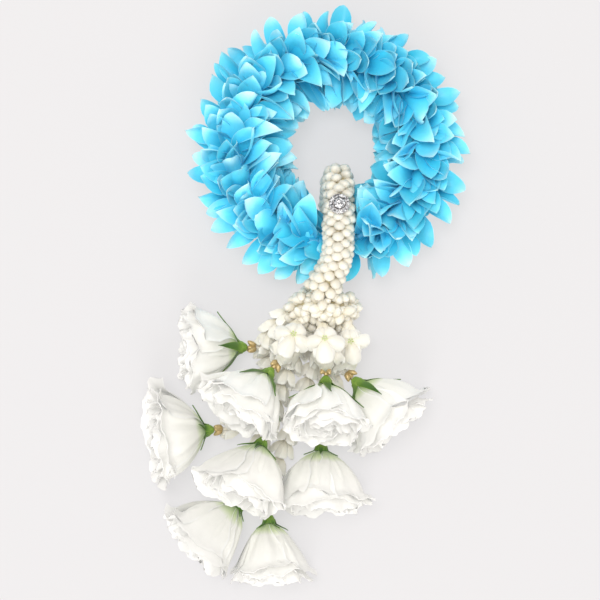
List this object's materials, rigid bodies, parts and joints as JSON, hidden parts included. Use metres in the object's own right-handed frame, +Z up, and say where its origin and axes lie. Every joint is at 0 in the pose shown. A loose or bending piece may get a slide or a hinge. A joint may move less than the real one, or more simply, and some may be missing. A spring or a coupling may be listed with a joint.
{
  "type": "flower garland",
  "caption": "Hand garland laid flat: a ring of layered petals with an open middle, a strap of small buds looped round it with a round brooch, and a tassel of strands that end in ruffled blooms.",
  "frame": {"origin": "middle of the garland's footprint, on the surface that it lies on", "axes": "+Z up from the surface, +Y towards the ring of petals, -Y towards the blooms, +X to the right when seen from above with the ring at the top"},
  "size_m": [0.2172, 0.3814, 0.0794],
  "materials": {
    "blue_petal": "satin",
    "cotton_cord": "matte",
    "jasmine_bud": "satin",
    "crown_flower": "satin",
    "white_bloom": "matte",
    "green_calyx": "satin",
    "gold_bud": "satin",
    "silver": "polished",
    "crystal": "polished"
  },
  "bodies": {
    "root": {"bloom_1": "white_bloom", "bloom_2": "white_bloom", "bloom_3": "white_bloom", "bloom_4": "white_bloom", "bloom_5": "white_bloom", "bloom_6": "white_bloom", "bloom_7": "white_bloom", "bloom_8": "white_bloom", "bloom_9": "white_bloom", "brooch_setting": "silver", "brooch_stone": "crystal", "bud_collar": "jasmine_bud", "calyx_1": "green_calyx", "calyx_2": "green_calyx", "calyx_3": "green_calyx", "calyx_4": "green_calyx", "calyx_5": "green_calyx", "calyx_6": "green_calyx", "calyx_7": "green_calyx", "calyx_8": "green_calyx", "calyx_9": "green_calyx", "gold_buds_1": "gold_bud", "gold_buds_2": "gold_bud", "gold_buds_3": "gold_bud", "gold_buds_4": "gold_bud", "gold_buds_5": "gold_bud", "gold_buds_6": "gold_bud", "gold_buds_7": "gold_bud", "gold_buds_8": "gold_bud", "gold_buds_9": "gold_bud", "hoop_cord": "cotton_cord", "petals_1": "blue_petal", "petals_2": "blue_petal", "petals_3": "blue_petal", "petals_4": "blue_petal", "petals_5": "blue_petal", "petals_6": "blue_petal", "petals_7": "blue_petal", "petals_under_strap": "blue_petal", "strand_1": "crown_flower", "strand_2": "crown_flower", "strand_3": "crown_flower", "strand_4": "crown_flower", "strand_5": "crown_flower", "strand_6": "crown_flower", "strand_7": "crown_flower", "strand_8": "crown_flower", "strand_9": "crown_flower", "strap_back": "jasmine_bud", "strap_front": "jasmine_bud", "strap_turn": "jasmine_bud"}
  },
  "joints": []
}
